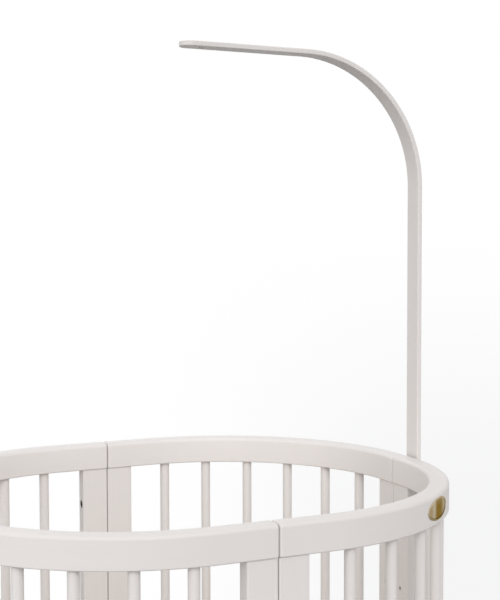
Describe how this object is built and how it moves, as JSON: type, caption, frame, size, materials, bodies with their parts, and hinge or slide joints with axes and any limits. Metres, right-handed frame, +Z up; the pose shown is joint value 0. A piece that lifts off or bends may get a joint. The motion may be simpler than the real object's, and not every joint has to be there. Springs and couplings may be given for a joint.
{
  "type": "baby cradle",
  "caption": "Oval baby cradle of round wooden bars between curved rails and flat half-posts, on castors, with a slatted base and a bent canopy rod.",
  "frame": {"origin": "on the floor, below the middle of the oval rail ring", "axes": "+Z up; +X along the ring's long axis, towards the end with the canopy rod; +Y across the ring, to its back"},
  "size_m": [0.8623, 0.71, 1.5138],
  "materials": {
    "painted_wood": "satin warm off-white paint",
    "bare_wood": "bare birch, fine sanded",
    "zinc_steel": "bright zinc plate",
    "dark_steel": "black oxide",
    "plate_brass": "brushed, slightly aged",
    "moulded_plastic": "moulded, fine grained",
    "tyre_rubber": "soft grey rubber"
  },
  "bodies": {
    "cradle": {"top_rail_front_right": "painted_wood", "top_rail_back_right": "painted_wood", "top_rail_back_left": "painted_wood", "top_rail_front_left": "painted_wood", "low_rail_front_right": "painted_wood", "low_rail_back_right": "painted_wood", "low_rail_back_left": "painted_wood", "low_rail_front_left": "painted_wood", "bars_front_right": "painted_wood", "bars_back_right": "painted_wood", "bars_back_left": "painted_wood", "bars_front_left": "painted_wood", "post_front_left": "painted_wood", "post_front_right": "painted_wood", "post_right_front": "painted_wood", "post_right_back": "painted_wood", "post_back_right": "painted_wood", "post_back_left": "painted_wood", "post_left_back": "painted_wood", "post_left_front": "painted_wood", "rail_dowels": "bare_wood", "joint_bolts": "dark_steel", "joint_nuts": "dark_steel", "base_inserts": "moulded_plastic", "base_brackets": "zinc_steel", "bracket_screws": "zinc_steel", "base_ring": "bare_wood", "base_screws": "zinc_steel", "base_slats": "bare_wood", "slat_screws": "zinc_steel", "oval_plate": "plate_brass", "rod_holder": "moulded_plastic", "holder_screws": "zinc_steel", "castor_plates": "zinc_steel", "plate_screws": "zinc_steel"},
    "rod": {"canopy_rod": "painted_wood"},
    "castor_front": {"castor_fork_front": "zinc_steel", "castor_axle_front": "zinc_steel", "brake_pin_front": "zinc_steel"},
    "wheel_front": {"castor_hub_front": "moulded_plastic", "castor_tyre_front": "tyre_rubber"},
    "brake_front": {"brake_lever_front": "moulded_plastic"},
    "castor_right": {"castor_fork_right": "zinc_steel", "castor_axle_right": "zinc_steel"},
    "wheel_right": {"castor_hub_right": "moulded_plastic", "castor_tyre_right": "tyre_rubber"},
    "castor_back": {"castor_fork_back": "zinc_steel", "castor_axle_back": "zinc_steel", "brake_pin_back": "zinc_steel"},
    "wheel_back": {"castor_hub_back": "moulded_plastic", "castor_tyre_back": "tyre_rubber"},
    "brake_back": {"brake_lever_back": "moulded_plastic"},
    "castor_left": {"castor_fork_left": "zinc_steel", "castor_axle_left": "zinc_steel"},
    "wheel_left": {"castor_hub_left": "moulded_plastic", "castor_tyre_left": "tyre_rubber"}
  },
  "joints": [
    {"name": "rod_lift", "type": "slide", "parent": "cradle", "child": "rod", "axis": [0, 0, 1], "range_m": [0, 0.16]},
    {"name": "castor_front_swivel", "type": "hinge", "parent": "cradle", "child": "castor_front", "pos_m": [0, -0.338, 0.06], "axis": [0, 0, 1], "continuous": true},
    {"name": "wheel_front_spin", "type": "hinge", "parent": "castor_front", "child": "wheel_front", "pos_m": [-0.015, -0.338, 0.0225], "axis": [0, 1, 0], "continuous": true},
    {"name": "brake_front_press", "type": "hinge", "parent": "castor_front", "child": "brake_front", "pos_m": [-0.004, -0.338, 0.05], "axis": [0, -1, 0], "range_deg": [0, 7.5]},
    {"name": "castor_right_swivel", "type": "hinge", "parent": "cradle", "child": "castor_right", "pos_m": [0.395, 0, 0.06], "axis": [0, 0, 1], "continuous": true},
    {"name": "wheel_right_spin", "type": "hinge", "parent": "castor_right", "child": "wheel_right", "pos_m": [0.38, 0, 0.0225], "axis": [0, 1, 0], "continuous": true},
    {"name": "castor_back_swivel", "type": "hinge", "parent": "cradle", "child": "castor_back", "pos_m": [0, 0.338, 0.06], "axis": [0, 0, 1], "continuous": true},
    {"name": "wheel_back_spin", "type": "hinge", "parent": "castor_back", "child": "wheel_back", "pos_m": [-0.015, 0.338, 0.0225], "axis": [0, 1, 0], "continuous": true},
    {"name": "brake_back_press", "type": "hinge", "parent": "castor_back", "child": "brake_back", "pos_m": [-0.004, 0.338, 0.05], "axis": [0, -1, 0], "range_deg": [0, 7.5]},
    {"name": "castor_left_swivel", "type": "hinge", "parent": "cradle", "child": "castor_left", "pos_m": [-0.395, 0, 0.06], "axis": [0, 0, 1], "continuous": true},
    {"name": "wheel_left_spin", "type": "hinge", "parent": "castor_left", "child": "wheel_left", "pos_m": [-0.41, 0, 0.0225], "axis": [0, 1, 0], "continuous": true}
  ]
}
